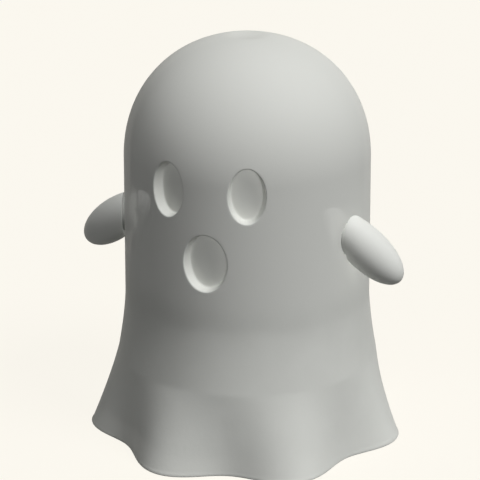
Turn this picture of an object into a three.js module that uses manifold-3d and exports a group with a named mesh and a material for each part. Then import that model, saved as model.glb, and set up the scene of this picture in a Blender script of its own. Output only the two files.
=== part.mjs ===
// Light-up ghost figure: a thin see-through shell with a domed head, a face of blind oval recesses and a
// folded skirt, two egg-shaped arms on shoulder journals, and a battery base screwed up inside the skirt.
// Millimetres, +Z up, face towards -Y. The origin is on the body's axis, on the level of the hem.
import * as THREE from "three";
import { mergeVertices } from "three/addons/utils/BufferGeometryUtils.js";
import Module from "manifold-3d";

const wasm = await Module();
wasm.setup();

const gap = 0.3; // left between pieces that touch
const degree = Math.PI / 180;

// Body shell
const bodyRadius = 45; // outside of the wall where the flare starts
const draft = 0.012; // how much the radius shrinks per millimetre from there up to the dome
const wall = 2.3;
const headCentre = 102.1; // height where the cylinder becomes the dome
const domeRise = 44.75;
const domePower = 2.12; // 2 is a true ellipse, more is squarer at the shoulders
const dimpleRadius = 6.5; // dished gate mark at the crown
const dimpleDepth = 0.5;
const flareStart = 52.3;
const flareReach = 10.2; // how far the hem stands out from the cylinder, between crest and valley
const flarePower = 1.47;
const foldStart = 29.4;
const foldDepth = 3.75; // crest above the mean at the hem
const foldPower = 1.14;
const foldCount = 7;
const firstCrest = -14.3 * degree; // angles run from the face, -Y, towards +X
const stepsPerFold = 8;

// Face recesses, as half sizes along the wall
const recessDepth = 4;
const eyeAngle = 18.9 * degree;
const eyeHeight = 100.4;
const eyeHalfWidth = 6.3;
const eyeHalfHeight = 9.3;
const mouthHeight = 76;
const mouthHalfWidth = 7.7;
const mouthHalfHeight = 9.85;

// Shoulders and arms
const shoulderAngle = 74.8 * degree;
const shoulderHeight = 80.2;
const armHalfLength = 18.2;
const armHalfWidth = 7.5;
const armFullness = 0.09; // share by which the outer end is wider than an ellipse and the inner end slimmer
const armTilt = 47.7 * degree; // from the shoulder's axis down to the arm's long axis
const armShift = 4.8; // the arm's middle stands this far out of the wall, along the arm
const leftArmBack = 37.1 * degree; // how far each hand is swung back in the photograph
const rightArmBack = 24.3 * degree;
const journalInset = 0.7; // the journal is this much slimmer than the arm, so that they read as one
const journalRadius = armHalfWidth - journalInset;
const collarWall = 2.2;
const collarDepth = 1.5; // how far the collar stands into the body from the wall
const washerLip = 1.4; // how far the washer reaches past the hole
const washerThickness = 1;
const pegRadius = 1.8;
const pegInset = 0.6; // from the journal's upper edge, off its axis, so that the cap can't turn on the arm
const pegShare = 0.45; // of the cap's depth

// Screw bosses inside the skirt and the screws in them
const bossRadius = 3.5;
const bossTop = 20;
const bossFolds = [0, 2, 5]; // valleys that carry a boss
const screwShank = 1.15;
const screwHead = 2.5;
const headThickness = 1.1;
const screwBite = 7; // length of thread in the boss
const boardScrewShank = 0.9;
const boardScrewHead = 1.9;
const boardScrewBite = 2.2;

// Base cover: heights below are above its underside
const coverHeight = 5; // underside above the hem
const plateThickness = 2.4;
const coverClearance = 0.5;
const rimHeight = 2.5;
const rimThickness = 1.2;
const ribThickness = 1.2;
const bayWall = 1.6;

// Battery bay and door
const cellDiameter = 10.5;
const cellLength = 44.5;
const cellNubRadius = 1.9;
const cellNubLength = 1;
const cellClearance = 0.45;
const contactSpace = 2.75; // between each end of the cells and the bay's end wall
const doorThickness = 1.8;
const doorClearance = 0.4;
const barrelRadius = 1.2;
const stubRadius = 0.7;
const stubLength = 1;
const tongueThickness = 1;
const tongueHalfWidth = 1.9;
const tongueHeight = 3.6;
const snapBump = 0.2;

// Contacts
const contactThickness = 0.5;
const contactHalfWidth = 3.2;
const contactHalfHeight = 3.2;
const bowThickness = 0.4;
const tabHalfWidth = 1;
const tabStandOut = 0.8; // above the board

// Board, lamp and switch
const boardThickness = 1.6;
const boardOverhang = 2; // past the bay's end walls, so that the contacts' tabs pass through it
const boardFront = -12;
const boardBack = 23;
const postRadius = 2.5;
const postHeight = 3;
const postInset = 9; // from each end of the board
const postY = 8;
const lampRadius = 2.45;
const lampFlange = 2.9;
const lampLift = 2.3; // flange above the board
const lampBodyHeight = 5.6;
const legPitch = 2.54;
const legHalfWidth = 0.25;
const switchY = 18;
const switchHalfLength = 4.5;
const switchHalfWidth = 2;
const switchHeight = 4;
const switchTravel = 4;
const knobHalfLength = 1.5;
const knobHalfWidth = 1.2;
const knobStandOut = 1.4; // below the cover's underside
const knobFlangeHalfWidth = 2.6;
const knobFlangeThickness = 1.2;
const nubHalfLength = 0.8;
const nubHalfWidth = 0.6;
const nubHeight = 1.6;
const resistorSize = [3.2, 1.6, 0.6];
const resistorPlace = [10, 6];

const shellPlastic = new THREE.MeshStandardMaterial({ color: 0xd2d3ce, roughness: 0.45, metalness: 0 });
const basePlastic = new THREE.MeshStandardMaterial({ color: 0xc8c9c4, roughness: 0.5, metalness: 0 });
const steel = new THREE.MeshStandardMaterial({ color: 0xb4b6b8, roughness: 0.3, metalness: 1 });
const cellJacket = new THREE.MeshStandardMaterial({ color: 0xb9bab6, roughness: 0.4, metalness: 0.2 });
const boardResin = new THREE.MeshStandardMaterial({ color: 0xdfe0da, roughness: 0.5, metalness: 0 });
const lampResin = new THREE.MeshStandardMaterial({ color: 0xf4f1e4, roughness: 0.2, metalness: 0 });
const darkPlastic = new THREE.MeshStandardMaterial({ color: 0x3c3d3d, roughness: 0.5, metalness: 0 });

// A closed geometry as a solid that can be cut and joined
function solid(geometry) {
  const bare = geometry.clone();
  bare.deleteAttribute("normal");
  bare.deleteAttribute("uv");
  const merged = mergeVertices(bare, 1e-4);
  return new wasm.Manifold(new wasm.Mesh({
    numProp: 3,
    vertProperties: Float32Array.from(merged.attributes.position.array),
    triVerts: Uint32Array.from(merged.index.array),
  }));
}

// A solid as a named mesh
function mesh(name, form, material) {
  const { vertProperties, triVerts } = form.getMesh();
  const geometry = new THREE.BufferGeometry();
  geometry.setAttribute("position", new THREE.BufferAttribute(vertProperties, 3));
  geometry.setIndex(new THREE.BufferAttribute(triVerts, 1));
  geometry.computeVertexNormals();
  const piece = new THREE.Mesh(geometry, material);
  piece.name = name;
  return piece;
}

function rod(radius, low, high, sides = 16) {
  const geometry = new THREE.CylinderGeometry(radius, radius, high - low, sides);
  return geometry.rotateX(Math.PI / 2).translate(0, 0, (low + high) / 2);
}

function block(left, right, front, back, low, high) {
  const geometry = new THREE.BoxGeometry(right - left, back - front, high - low);
  return geometry.translate((left + right) / 2, (front + back) / 2, (low + high) / 2);
}

// A closed skin over rings of equal length, between a first and a last middle point
function closedSkin(rings, firstPoint, lastPoint) {
  const points = [firstPoint, ...rings.flat(), lastPoint];
  const count = rings[0].length;
  const at = (ring, step) => 1 + ring * count + (step % count);
  const faces = [];
  for (let step = 0; step < count; step++) {
    faces.push(0, at(0, step), at(0, step + 1));
    for (let ring = 0; ring + 1 < rings.length; ring++) {
      faces.push(at(ring, step), at(ring + 1, step), at(ring + 1, step + 1));
      faces.push(at(ring, step), at(ring + 1, step + 1), at(ring, step + 1));
    }
    faces.push(points.length - 1, at(rings.length - 1, step + 1), at(rings.length - 1, step));
  }
  return new THREE.BufferGeometry().setFromPoints(points).setIndex(faces);
}

// A point at an angle from the face, a distance from the body's axis and a height
function around(angle, radius, height) {
  return new THREE.Vector3(radius * Math.sin(angle), -radius * Math.cos(angle), height);
}

// Outer radius of the cylinder and skirt: flare and folds both grow downwards by a power
function skirtRadius(angle, height) {
  const flare = Math.max(0, (flareStart - height) / flareStart) ** flarePower;
  const fold = Math.max(0, (foldStart - height) / foldStart) ** foldPower;
  return bodyRadius + flareReach * flare + foldDepth * fold * Math.cos(foldCount * (angle - firstCrest));
}

// Inner radius of the same wall, wider where the wall leans or swings round a fold
function skirtInnerRadius(angle, height) {
  const nudge = 0.01;
  const radius = skirtRadius(angle, height);
  const lean = (skirtRadius(angle, height + nudge) - radius) / nudge;
  const swing = (skirtRadius(angle + nudge, height) - radius) / (nudge * radius);
  return radius - wall * Math.hypot(1, lean, swing);
}

// Radius of the head and of the wall below it at a height, a depth under the outer face
function headRadius(height, depth) {
  const rise = Math.max(0, height - headCentre) / (domeRise - depth);
  const base = bodyRadius - draft * (Math.min(height, headCentre) - flareStart) - depth;
  return base * (1 - rise ** domePower) ** (1 / domePower);
}

const stepCount = foldCount * stepsPerFold;
const stepAngles = Array.from({ length: stepCount }, (_, step) => firstCrest + (step / stepCount) * 2 * Math.PI);

// Rings from the crown down to the hem, on the outer face or a wall's thickness inside it
function skinRings(depth) {
  const domeSteps = 10;
  const rings = [];
  for (let step = 1; step <= domeSteps; step++) {
    const polar = (Math.PI / 2) * (step / domeSteps) ** 1.2;
    const radius = headRadius(headCentre, depth) * Math.sin(polar) ** (2 / domePower);
    const dish = dimpleDepth * Math.max(0, 1 - (radius / dimpleRadius) ** 2);
    const rise = (domeRise - depth) * Math.max(0, Math.cos(polar)) ** (2 / domePower);
    rings.push(stepAngles.map((angle) => around(angle, radius, headCentre + rise - dish)));
  }
  const wallRadius = depth > 0 ? skirtInnerRadius : skirtRadius;
  const heights = [flareStart];
  for (let step = 1; step <= 3; step++) heights.push(flareStart + ((foldStart - flareStart) * step) / 3);
  for (let step = 5; step >= 0; step--) heights.push((foldStart * step) / 6);
  for (const height of heights) {
    rings.push(stepAngles.map((angle) => around(angle, wallRadius(angle, height), height)));
  }
  return rings;
}

// An oval plug that follows the head's curve, between two depths under the outer face
function ovalPlug(angle, height, halfWidth, halfHeight, shallow, deep) {
  const corners = 28;
  const ring = (share, depth) => Array.from({ length: corners }, (_, corner) => {
    const turn = (corner / corners) * 2 * Math.PI;
    const level = height + share * halfHeight * Math.sin(turn);
    const side = angle + (share * halfWidth * Math.cos(turn)) / bodyRadius;
    return around(side, headRadius(level, depth), level);
  });
  const middle = (depth) => around(angle, headRadius(height, depth), height);
  const rings = [ring(0.5, shallow), ring(1, shallow), ring(1, deep), ring(0.5, deep)];
  return solid(closedSkin(rings, middle(shallow), middle(deep)));
}

const recesses = [
  [-eyeAngle, eyeHeight, eyeHalfWidth, eyeHalfHeight],
  [eyeAngle, eyeHeight, eyeHalfWidth, eyeHalfHeight],
  [0, mouthHeight, mouthHalfWidth, mouthHalfHeight],
];

// The shoulder's frame: +Z runs out of the body along the journal, +X down, 0 at the body's axis
function shoulderFrame(side) {
  const out = new THREE.Vector3(side * Math.sin(shoulderAngle), -Math.cos(shoulderAngle), 0);
  const down = new THREE.Vector3(0, 0, -1);
  const across = new THREE.Vector3().crossVectors(out, down);
  return new THREE.Matrix4().makeBasis(down, across, out).setPosition(0, 0, shoulderHeight);
}

const holeRadius = journalRadius + gap;
const collarRadius = holeRadius + collarWall;
const seatRadius = headRadius(shoulderHeight - armHalfLength * Math.sin(armTilt), 0); // wall under the arm
const collarFace = seatRadius - wall - collarDepth; // its inner face, from the body's axis

function shoulderCollar(side) {
  const root = Math.sqrt(seatRadius ** 2 - collarRadius ** 2) - gap;
  return solid(rod(collarRadius, collarFace, root, 32).applyMatrix4(shoulderFrame(side)));
}

function shoulderHole(side) {
  const hole = rod(holeRadius, collarFace - 1, seatRadius + 1, 32);
  return solid(hole.applyMatrix4(shoulderFrame(side)));
}

const plateTop = coverHeight + plateThickness;
const bossFoot = plateTop + gap;

// Middle of each boss, sunk most of the way into the wall at its top
const bossPlaces = bossFolds.map((fold) => {
  const valley = firstCrest + ((fold + 0.5) / foldCount) * 2 * Math.PI;
  return around(valley, skirtInnerRadius(valley, bossTop) + 0.7 * wall - bossRadius, 0);
});

function bodyShell() {
  const outer = skinRings(0);
  const inner = skinRings(wall).reverse();
  const crown = new THREE.Vector3(0, 0, headCentre + domeRise - dimpleDepth);
  const ceiling = new THREE.Vector3(0, 0, crown.z - wall);
  let shell = solid(closedSkin([...outer, ...inner], crown, ceiling));
  for (const [angle, height, halfWidth, halfHeight] of recesses) {
    const cup = ovalPlug(angle, height, halfWidth + wall, halfHeight + wall, wall / 2, recessDepth + wall);
    shell = shell.add(cup);
  }
  for (const [angle, height, halfWidth, halfHeight] of recesses) {
    shell = shell.subtract(ovalPlug(angle, height, halfWidth, halfHeight, -1, recessDepth));
  }
  for (const side of [-1, 1]) shell = shell.add(shoulderCollar(side)).subtract(shoulderHole(side));
  for (const { x, y } of bossPlaces) {
    shell = shell.add(solid(rod(bossRadius, bossFoot, bossTop).translate(x, y, 0)));
    const pilot = rod(screwShank + gap, bossFoot - 1, bossFoot + screwBite + 1);
    shell = shell.subtract(solid(pilot.translate(x, y, 0)));
  }
  return mesh("body_shell", shell, shellPlastic);
}

// The whole egg of an arm in the shoulder's frame
function armEgg() {
  const egg = new THREE.SphereGeometry(1, 28, 18);
  const place = egg.attributes.position;
  for (let point = 0; point < place.count; point++) {
    const girth = armHalfWidth * (1 + armFullness * place.getY(point));
    const [across, along, deep] = [place.getX(point), place.getY(point), place.getZ(point)];
    place.setXYZ(point, across * girth, along * armHalfLength, deep * girth);
  }
  egg.rotateX(Math.PI / 2).rotateY(armTilt);
  return egg.translate(armShift * Math.sin(armTilt), 0, seatRadius + armShift * Math.cos(armTilt));
}

const washerFace = collarFace - gap;
const capFace = washerFace - washerThickness - gap;
const armFace = seatRadius + gap;
const armReach = Math.hypot(armHalfLength * Math.cos(armTilt), armHalfWidth * Math.sin(armTilt)); // along the axis
const capEnd = seatRadius + armShift * Math.cos(armTilt) - armReach;
const pegLength = pegShare * (capFace - capEnd);
const pegOffset = journalRadius - pegInset - pegRadius;

function armPeg(radius, low, high) {
  return solid(rod(radius, low, high).translate(-pegOffset, 0, 0));
}

function armOuter(name) {
  const reach = 3 * armHalfLength;
  const outside = solid(block(-reach, reach, -reach, reach, armFace, seatRadius + reach));
  const journal = solid(rod(journalRadius, collarFace, armFace + 1, 32));
  const peg = armPeg(pegRadius, capFace - pegLength, collarFace + 1);
  return mesh(name, solid(armEgg()).intersect(outside).add(journal).add(peg), shellPlastic);
}

function armCap(name) {
  const reach = 3 * armHalfLength;
  const inside = solid(block(-reach, reach, -reach, reach, -reach, capFace));
  const socket = armPeg(pegRadius + gap, capFace - pegLength - gap, capFace + 1);
  return mesh(name, solid(armEgg()).intersect(inside).subtract(socket), shellPlastic);
}

function armWasher(name) {
  const low = washerFace - washerThickness;
  const disc = solid(rod(holeRadius + washerLip, low, washerFace, 32));
  return mesh(name, disc.subtract(armPeg(pegRadius + gap, low - 1, washerFace + 1)), basePlastic);
}

// An arm hung on its shoulder and swung back; its pieces turn together about the journal
function arm(label, side, swingBack) {
  const shoulder = new THREE.Group();
  shoulder.applyMatrix4(shoulderFrame(side));
  const swung = new THREE.Group();
  swung.rotation.z = side * swingBack;
  swung.add(armOuter(label), armWasher(`${label}_washer`), armCap(`${label}_cap`));
  return shoulder.add(swung);
}

// Outline of a plate that fits inside the skirt up to a height, drawn in by an inset
function skirtOutline(height, inset) {
  const corners = stepAngles.map((angle) => around(angle, skirtInnerRadius(angle, height) - inset, 0));
  return new THREE.Shape(corners.map(({ x, y }) => new THREE.Vector2(x, y)));
}

function slab(shape, low, high) {
  const geometry = new THREE.ExtrudeGeometry(shape, { depth: high - low, bevelEnabled: false });
  return solid(geometry.translate(0, 0, low));
}

const bayHalfLength = cellLength / 2 + contactSpace;
const bayHalfWidth = cellDiameter + 1.5 * cellClearance;
const cellY = cellDiameter / 2 + cellClearance / 2;
const cellZ = doorThickness + cellClearance + cellDiameter / 2;
const roofLow = cellZ + cellDiameter / 2 + cellClearance;
const roofTop = roofLow + bayWall;
const boardLow = roofTop + postHeight + gap;
const boardTop = boardLow + boardThickness;
const boardHalfLength = bayHalfLength + boardOverhang;
const contactX = bayHalfLength - gap - contactThickness / 2;
const pivotX = -(bayHalfLength - doorClearance - barrelRadius);
const postX = boardHalfLength - postInset;
const postPlaces = [[-postX, postY], [postX, -postY]];
const counterbore = headThickness + gap;
const slotHalfLength = knobHalfLength + switchTravel / 2 + gap;
const slotHalfWidth = knobHalfWidth + gap;
const tabTop = boardTop + tabStandOut;

// A slot for a contact's tab, through the bay's roof or the board
function tabSlot(side, low, high) {
  const halfThickness = contactThickness / 2 + gap;
  const middle = side * cellY;
  const front = middle - tabHalfWidth - gap;
  const back = middle + tabHalfWidth + gap;
  return solid(block(contactX - halfThickness, contactX + halfThickness, front, back, low, high));
}

// A rim that follows the skirt and ribs that run out to it, with room left for the bosses
function coverStiffening() {
  const top = plateThickness + rimHeight;
  const foot = plateThickness - 1;
  const outline = skirtOutline(coverHeight + top, coverClearance);
  const bore = skirtOutline(coverHeight + top, coverClearance + rimThickness);
  let frame = slab(outline, foot, top).subtract(slab(bore, foot - 1, top + 1));
  const valley = firstCrest + Math.PI / foldCount;
  const reach = skirtInnerRadius(valley, coverHeight + top) - coverClearance - rimThickness / 2;
  const half = ribThickness / 2;
  frame = frame.add(solid(block(bayHalfLength, reach, -half, half, foot, top)));
  frame = frame.add(solid(block(-reach, -bayHalfLength, -half, half, foot, top)));
  frame = frame.add(solid(block(-half, half, -reach, -bayHalfWidth, foot, top)));
  for (const { x, y } of bossPlaces) {
    const room = rod(bossRadius + coverClearance, plateThickness, top + 1);
    frame = frame.subtract(solid(room.translate(x, y, 0)));
  }
  return frame;
}

function baseCover() {
  let cover = slab(skirtOutline(plateTop, coverClearance), 0, plateThickness).add(coverStiffening());
  const outX = bayHalfLength + bayWall;
  const outY = bayHalfWidth + bayWall;
  cover = cover.add(solid(block(-outX, outX, -outY, outY, plateThickness / 2, roofTop)));
  const bay = block(-bayHalfLength, bayHalfLength, -bayHalfWidth, bayHalfWidth, -1, roofLow);
  cover = cover.subtract(solid(bay));
  for (const [x, y] of postPlaces) {
    cover = cover.add(solid(rod(postRadius, roofTop - 1, roofTop + postHeight, 12).translate(x, y, 0)));
    const pilot = rod(boardScrewShank + gap, boardLow - boardScrewBite - 2 * gap, boardLow, 12);
    cover = cover.subtract(solid(pilot.translate(x, y, 0)));
  }
  for (const side of [-1, 1]) cover = cover.subtract(tabSlot(side, roofLow - 1, roofTop + 1));
  for (const { x, y } of bossPlaces) {
    cover = cover.subtract(solid(rod(screwShank + gap, -1, plateThickness + 1).translate(x, y, 0)));
    cover = cover.subtract(solid(rod(screwHead + gap, -1, counterbore).translate(x, y, 0)));
  }
  const bores = rod(stubRadius + gap, -bayHalfWidth - stubLength - gap, bayHalfWidth + stubLength + gap, 12);
  cover = cover.subtract(solid(bores.rotateX(Math.PI / 2).translate(pivotX, 0, barrelRadius)));
  const slot = block(-slotHalfLength, slotHalfLength, -slotHalfWidth, slotHalfWidth, -1, plateThickness + 1);
  cover = cover.subtract(solid(slot.translate(0, switchY, 0)));
  const dish = block(-slotHalfLength - 2, slotHalfLength + 2, -slotHalfWidth - 1.5, slotHalfWidth + 1.5, -1, 0.8);
  cover = cover.subtract(solid(dish.translate(0, switchY, 0)));
  const thumbNotch = block(bayHalfLength - 1, bayHalfLength + 3.5, -5, 5, -1, 1.2);
  return mesh("base_cover", cover.subtract(solid(thumbNotch)), basePlastic);
}

// The door's barrel and stubs turn in the cover; a tongue at the other end snaps behind the end wall
function batteryDoor() {
  const halfWidth = bayHalfWidth - doorClearance;
  const end = bayHalfLength - doorClearance;
  const barrel = rod(barrelRadius, -halfWidth, halfWidth, 20).rotateX(Math.PI / 2);
  const stubs = rod(stubRadius, -bayHalfWidth - stubLength, bayHalfWidth + stubLength, 12).rotateX(Math.PI / 2);
  const tongueTop = doorThickness + tongueHeight;
  const width = tongueHalfWidth;
  const tongue = block(end - tongueThickness, end, -width, width, doorThickness / 2, tongueTop);
  const bump = block(end - tongueThickness / 2, end + snapBump, -width, width, tongueTop - 1.2, tongueTop - 0.4);
  const rib = block(-0.4 * cellLength, 0.4 * cellLength, -0.8, 0.8, doorThickness / 2, doorThickness + 2);
  const door = solid(block(pivotX, end, -halfWidth, halfWidth, 0, doorThickness))
    .add(solid(barrel.translate(pivotX, 0, barrelRadius)))
    .add(solid(stubs.translate(pivotX, 0, barrelRadius)))
    .add(solid(tongue))
    .add(solid(bump))
    .add(solid(rib));
  return mesh("battery_door", door, basePlastic);
}

// A cell along X with its raised nub at the +X end when turn is 1
function battery(name, side, turn) {
  const radius = cellDiameter / 2;
  const half = cellLength / 2;
  const edge = 0.5;
  const shoulder = half - cellNubLength;
  const profile = [
    [0, -half], [radius - edge, -half], [radius, edge - half], [radius, shoulder - edge],
    [radius - edge, shoulder], [cellNubRadius, shoulder], [cellNubRadius, half], [0, half],
  ].map(([r, z]) => new THREE.Vector2(r, z));
  const cell = mesh(name, solid(new THREE.LatheGeometry(profile, 20)), cellJacket);
  cell.rotation.z = -turn * Math.PI / 2;
  cell.position.set(0, side * cellY, cellZ);
  return cell;
}

function contactPlate(front, back, low, high) {
  return solid(block(-contactThickness / 2, contactThickness / 2, front, back, low, high));
}

// A half-round strip bowed from a contact's plate towards the end of a cell, on the -X side
function contactBow(y) {
  const radius = contactSpace - 2 * gap - contactThickness;
  const strip = new THREE.Shape();
  strip.absarc(0, 0, radius, Math.PI / 2, 1.5 * Math.PI, false);
  strip.absarc(0, 0, radius - bowThickness, 1.5 * Math.PI, Math.PI / 2, true);
  const bow = new THREE.ExtrudeGeometry(strip, { depth: 3, bevelEnabled: false, curveSegments: 8 });
  return solid(bow.translate(0, 0, -1.5).rotateX(Math.PI / 2).translate(0, y, 0));
}

// A contact at the +X end with its tab up through the roof and the board
function endContact(name, side) {
  const plate = contactPlate(-contactHalfWidth, contactHalfWidth, -contactHalfHeight, contactHalfHeight);
  const tab = contactPlate(-tabHalfWidth, tabHalfWidth, 0, tabTop - cellZ);
  const contact = mesh(name, plate.add(tab).add(contactBow(0)), steel);
  contact.position.set(contactX, side * cellY, cellZ);
  return contact;
}

// The contact at the door's hinge end that joins the two cells
function bridgeContact() {
  const reach = cellY + contactHalfWidth;
  const plate = contactPlate(-reach, reach, -contactHalfHeight, contactHalfHeight);
  const bridge = mesh("contact_bridge", plate.add(contactBow(cellY)).add(contactBow(-cellY)), steel);
  bridge.rotation.z = Math.PI;
  bridge.position.set(-contactX, 0, cellZ);
  return bridge;
}

function screw(name, shankRadius, headRadius, shankLength, x, y, seat) {
  const crown = headThickness * 0.35;
  const profile = [
    [0, -headThickness], [headRadius * 0.6, -headThickness], [headRadius, -headThickness + crown],
    [headRadius, 0], [shankRadius, 0], [shankRadius, shankLength - shankRadius], [0, shankLength],
  ].map(([r, z]) => new THREE.Vector2(r, z));
  const piece = mesh(name, solid(new THREE.LatheGeometry(profile, 12).rotateX(Math.PI / 2)), steel);
  piece.position.set(x, y, seat);
  return piece;
}

function coverScrews() {
  const seat = counterbore - gap;
  const length = bossFoot - coverHeight - seat + screwBite;
  return bossPlaces.map(({ x, y }, index) =>
    screw(`cover_screw_${index + 1}`, screwShank, screwHead, length, x, y, seat));
}

function boardScrews() {
  const length = boardThickness + gap + boardScrewBite;
  return postPlaces.map(([x, y], index) => {
    const piece = screw(`board_screw_${index + 1}`, boardScrewShank, boardScrewHead, length, x, y, boardTop + gap);
    piece.rotation.x = Math.PI;
    return piece;
  });
}

function lightBoard() {
  let board = solid(block(-boardHalfLength, boardHalfLength, boardFront, boardBack, boardLow, boardTop));
  for (const [x, y] of postPlaces) {
    board = board.subtract(solid(rod(boardScrewShank + gap, boardLow - 1, boardTop + 1, 12).translate(x, y, 0)));
  }
  for (const side of [-1, 1]) {
    board = board.subtract(tabSlot(side, boardLow - 1, boardTop + 1));
    const legHole = rod(legHalfWidth * Math.SQRT2 + gap, boardLow - 1, boardTop + 1, 8);
    board = board.subtract(solid(legHole.translate((side * legPitch) / 2, 0, 0)));
  }
  return mesh("light_board", board, boardResin);
}

function ledLamp() {
  const low = boardTop + lampLift;
  const dome = Array.from({ length: 5 }, (_, step) => {
    const turn = (step / 5) * (Math.PI / 2);
    return [lampRadius * Math.cos(turn), low + lampBodyHeight + lampRadius * Math.sin(turn)];
  });
  const profile = [
    [0, low], [lampFlange, low], [lampFlange, low + 1], [lampRadius, low + 1], ...dome,
    [0, low + lampBodyHeight + lampRadius],
  ].map(([r, z]) => new THREE.Vector2(r, z));
  let lamp = solid(new THREE.LatheGeometry(profile, 20).rotateX(Math.PI / 2));
  for (const side of [-1, 1]) {
    const middle = (side * legPitch) / 2;
    const half = legHalfWidth;
    lamp = lamp.add(solid(block(middle - half, middle + half, -half, half, boardLow - 1, low + 0.5)));
  }
  return mesh("led_lamp", lamp, lampResin);
}

function boardResistor() {
  const [length, width, height] = resistorSize;
  const chip = block(-length / 2, length / 2, -width / 2, width / 2, 0, height);
  const resistor = mesh("board_resistor", solid(chip), darkPlastic);
  resistor.position.set(...resistorPlace, boardTop + gap);
  return resistor;
}

const switchTop = boardLow - gap;
const switchLow = switchTop - switchHeight;

function switchBody() {
  const room = nubHalfLength + switchTravel / 2 + gap;
  const housing = block(-switchHalfLength, switchHalfLength, -switchHalfWidth, switchHalfWidth, switchLow, switchTop);
  const track = block(-room, room, -nubHalfWidth - gap, nubHalfWidth + gap, switchLow - 1, switchLow + nubHeight + gap);
  const body = mesh("switch_body", solid(housing).subtract(solid(track)), darkPlastic);
  body.position.y = switchY;
  return body;
}

// The knob at its off end: a button through the cover's slot, a flange above it and a nub in the switch
function switchKnob() {
  const flangeHalfLength = slotHalfLength + switchTravel / 2 + 0.5;
  const flangeLow = plateThickness + gap;
  const halfWidth = knobFlangeHalfWidth;
  const stem = block(-knobHalfLength, knobHalfLength, -knobHalfWidth, knobHalfWidth, -knobStandOut, switchLow - gap);
  const flange = block(-flangeHalfLength, flangeHalfLength, -halfWidth, halfWidth,
    flangeLow, flangeLow + knobFlangeThickness);
  const nub = block(-nubHalfLength, nubHalfLength, -nubHalfWidth, nubHalfWidth, switchLow - 1, switchLow + nubHeight);
  const knob = mesh("switch_knob", solid(stem).add(solid(flange)).add(solid(nub)), darkPlastic);
  knob.position.set(-switchTravel / 2, switchY, 0);
  return knob;
}

// Everything below is measured from the cover's underside
const base = new THREE.Group();
base.position.z = coverHeight;
base.add(
  baseCover(), ...coverScrews(), batteryDoor(), battery("battery_1", -1, 1), battery("battery_2", 1, -1),
  endContact("contact_positive", -1), endContact("contact_negative", 1), bridgeContact(),
  lightBoard(), ...boardScrews(), ledLamp(), boardResistor(), switchBody(), switchKnob(),
);

const ghost = new THREE.Group();
ghost.add(bodyShell(), arm("left_arm", -1, leftArmBack), arm("right_arm", 1, rightArmBack), base);

export default ghost;
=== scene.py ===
import bpy
import bmesh
import math
import numpy as np
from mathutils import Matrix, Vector


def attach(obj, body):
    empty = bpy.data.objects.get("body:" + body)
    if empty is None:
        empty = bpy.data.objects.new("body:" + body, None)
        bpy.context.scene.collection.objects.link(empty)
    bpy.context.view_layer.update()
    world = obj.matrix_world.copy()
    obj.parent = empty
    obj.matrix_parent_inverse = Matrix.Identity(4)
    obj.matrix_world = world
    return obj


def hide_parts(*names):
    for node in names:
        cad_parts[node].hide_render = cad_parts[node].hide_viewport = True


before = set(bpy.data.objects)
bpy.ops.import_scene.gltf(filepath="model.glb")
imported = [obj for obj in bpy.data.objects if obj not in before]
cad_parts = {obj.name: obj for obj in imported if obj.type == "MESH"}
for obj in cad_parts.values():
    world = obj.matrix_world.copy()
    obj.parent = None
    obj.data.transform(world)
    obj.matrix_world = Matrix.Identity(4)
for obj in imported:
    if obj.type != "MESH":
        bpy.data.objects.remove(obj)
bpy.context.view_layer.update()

degree = math.pi / 180
mm = 0.001  # shapes are worked out in millimetres and stored in metres
gap = 0.3   # between pieces that touch


# A mesh object from arrays of points in millimetres and of corner indices.
def putMesh(name, points, faces):
    mesh = bpy.data.meshes.new(name)
    corners = [row for block in faces for row in block.tolist()]
    mesh.from_pydata((np.asarray(points) * mm).tolist(), [], corners)
    mesh.validate()
    mesh.polygons.foreach_set("use_smooth", [True] * len(mesh.polygons))
    piece = bpy.data.objects.new(name, mesh)
    bpy.context.scene.collection.objects.link(piece)
    return piece


# Quads between the rows of an index grid whose columns close on themselves.
def ringQuads(index):
    upper, lower = index[:-1], index[1:]
    quads = np.stack([upper, lower, np.roll(lower, -1, axis=1), np.roll(upper, -1, axis=1)], axis=-1)
    return quads.reshape(-1, 4)


# Triangles from one point to a ring; the order of the ring's corners turns with outwards.
def ringFan(point, ring, outwards):
    middle = np.full(len(ring), point)
    around = np.roll(ring, -1)
    pair = (ring, around) if outwards else (around, ring)
    return np.stack([middle, *pair], axis=-1)


# A closed piece from rings of equal length, carried from a first to a last middle point.
def ringPiece(name, rings):
    rings = np.asarray(rings, float)
    count, steps = rings.shape[:2]
    first, last = rings[0].mean(axis=0), rings[-1].mean(axis=0)
    points = np.vstack([rings.reshape(-1, 3), first, last])
    index = np.arange(count * steps).reshape(count, steps)
    faces = [ringQuads(index), ringFan(count * steps, index[0], True),
             ringFan(count * steps + 1, index[-1], False)]
    return putMesh(name, points, faces)


# Angles in even steps: once round, and over a quarter of a turn with both of its ends.
def fullTurn(steps):
    return np.linspace(0, 2 * math.pi, steps, endpoint=False)


def quarterTurn(steps):
    return np.arange(steps + 1) / steps * math.pi / 2


# A ring round a point of the X axis, x = middle + r cos a and y = r sin a. The radius may vary round it.
def circle(steps, radius, level, middle=0.0):
    turn = fullTurn(steps)
    return np.stack([middle + radius * np.cos(turn), radius * np.sin(turn), np.full(steps, level)], axis=-1)


# A profile of (radius, height) turned round Z, from its top to its foot.
def turned(name, profile, steps):
    return ringPiece(name, [circle(steps, radius, height) for radius, height in profile])


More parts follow.
